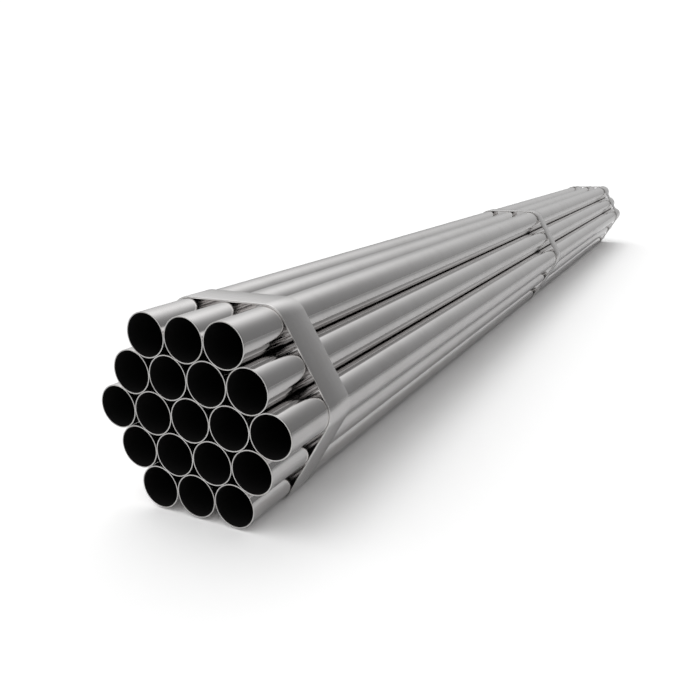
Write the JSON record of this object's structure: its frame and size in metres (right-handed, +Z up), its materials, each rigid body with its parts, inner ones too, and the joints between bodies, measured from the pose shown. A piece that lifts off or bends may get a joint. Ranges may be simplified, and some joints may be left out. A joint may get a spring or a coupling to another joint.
{
  "type": "stack of steel tubes",
  "caption": "Hexagonal bundle of round steel tubes with flush open ends, held by wide flat steel straps that it lies on.",
  "frame": {"origin": "under the middle of the bundle, on the level floor that the straps lie on", "axes": "+Y along the tubes, from the end with the stated bores to the other; +Z up, across the level rows; +X along the rows, to the right when the stated bores are looked into"},
  "size_m": [0.5828, 5.8, 0.5215],
  "materials": {
    "tube_steel": "bare drawn steel, satin, with fine lengthwise lines",
    "strap_steel": "flat rolled band, matt grey"
  },
  "bodies": {
    "root": {"tube_1_1": "tube_steel", "tube_1_2": "tube_steel", "tube_1_3": "tube_steel", "tube_2_1": "tube_steel", "tube_2_2": "tube_steel", "tube_2_3": "tube_steel", "tube_2_4": "tube_steel", "tube_3_1": "tube_steel", "tube_3_2": "tube_steel", "tube_3_3": "tube_steel", "tube_3_4": "tube_steel", "tube_3_5": "tube_steel", "tube_4_1": "tube_steel", "tube_4_2": "tube_steel", "tube_4_3": "tube_steel", "tube_4_4": "tube_steel", "tube_5_1": "tube_steel", "tube_5_2": "tube_steel", "tube_5_3": "tube_steel", "strap_front": "strap_steel", "strap_middle": "strap_steel", "strap_rear": "strap_steel"}
  },
  "joints": []
}
